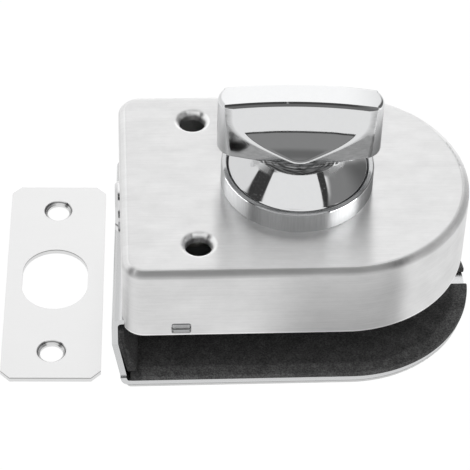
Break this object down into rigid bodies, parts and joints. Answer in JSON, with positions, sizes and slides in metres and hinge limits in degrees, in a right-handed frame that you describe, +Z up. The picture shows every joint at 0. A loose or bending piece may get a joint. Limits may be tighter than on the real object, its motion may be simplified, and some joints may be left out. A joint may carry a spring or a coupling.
{
  "type": "glass door floor lock",
  "caption": "Clamp-on lock for a frameless glass door: D-shaped steel cover, thumb-turn, sliding round bolt, U-frame with rubber pads, and a separate strike plate.",
  "frame": {"origin": "on the outer face of the back cover, under the knob's axis; the lock lies on its back", "axes": "+Z up through the knob, -X the way the bolt slides out, +X the way the glass leaves the slot"},
  "size_m": [0.1194, 0.0711, 0.0679],
  "materials": {
    "cover_steel": "fine satin grain along the cover",
    "frame_steel": "plain rolled stainless sheet",
    "strike_steel": "light satin grain",
    "pad_rubber": "granular black rubber",
    "knob_chrome": "mirror chrome on a zinc casting",
    "bolt_steel": "ground and polished bar",
    "inner_steel": "bright zinc plated",
    "case_zinc": "bare zinc die casting",
    "bush_brass": "turned brass"
  },
  "bodies": {
    "root": {"front_cover": "cover_steel", "u_frame": "frame_steel", "back_cover": "cover_steel", "back_studs": "frame_steel", "back_pad_near": "pad_rubber", "back_pad_far": "pad_rubber", "web_pad": "pad_rubber", "clamp_bosses": "inner_steel", "lock_case": "case_zinc", "case_lid": "inner_steel", "lid_screws": "inner_steel", "case_screws": "inner_steel", "spindle_bush": "bush_brass", "detent_leaf": "inner_steel", "detent_rivet": "inner_steel", "cover_clips": "frame_steel", "knob_rose": "knob_chrome", "hub_bush": "bush_brass", "spring_washer": "inner_steel", "strike_plate": "strike_steel"},
    "turn_knob": {"knob": "knob_chrome", "knob_grub_screw": "inner_steel", "spindle": "inner_steel", "spindle_clip": "inner_steel", "pinion": "inner_steel"},
    "sliding_bolt": {"bolt": "bolt_steel", "bolt_pin": "inner_steel", "rack_frame": "inner_steel"},
    "pressure_set": {"pressure_plate": "inner_steel", "pressure_pad": "pad_rubber"},
    "near_screw": {"clamp_screw_near": "inner_steel"},
    "far_screw": {"clamp_screw_far": "inner_steel"}
  },
  "joints": [
    {"name": "knob_turn", "type": "hinge", "parent": "root", "child": "turn_knob", "pos_m": [0, 0, 0.05], "axis": [0, 0, -1], "range_deg": [0, 90], "deforming": ["detent_leaf"]},
    {"name": "bolt_throw", "type": "slide", "parent": "root", "child": "sliding_bolt", "axis": [-1, 0, 0], "range_m": [0, 0.01571]},
    {"name": "plate_press", "type": "slide", "parent": "root", "child": "pressure_set", "axis": [0, 0, -1], "range_m": [0, 0.003]},
    {"name": "near_screw_turn", "type": "hinge", "parent": "pressure_set", "child": "near_screw", "pos_m": [-0.025, -0.022, 0.0265], "axis": [0, 0, -1], "range_deg": [0, 1080.01]},
    {"name": "far_screw_turn", "type": "hinge", "parent": "pressure_set", "child": "far_screw", "pos_m": [-0.025, 0.022, 0.0265], "axis": [0, 0, -1], "range_deg": [0, 1080.01]}
  ],
  "couplings": [
    {"joint": "bolt_throw", "follows": "knob_turn", "m_per_rad": 0.01},
    {"joint": "near_screw_turn", "follows": "plate_press", "rad_per_m": 6283.2},
    {"joint": "far_screw_turn", "follows": "plate_press", "rad_per_m": 6283.2}
  ]
}
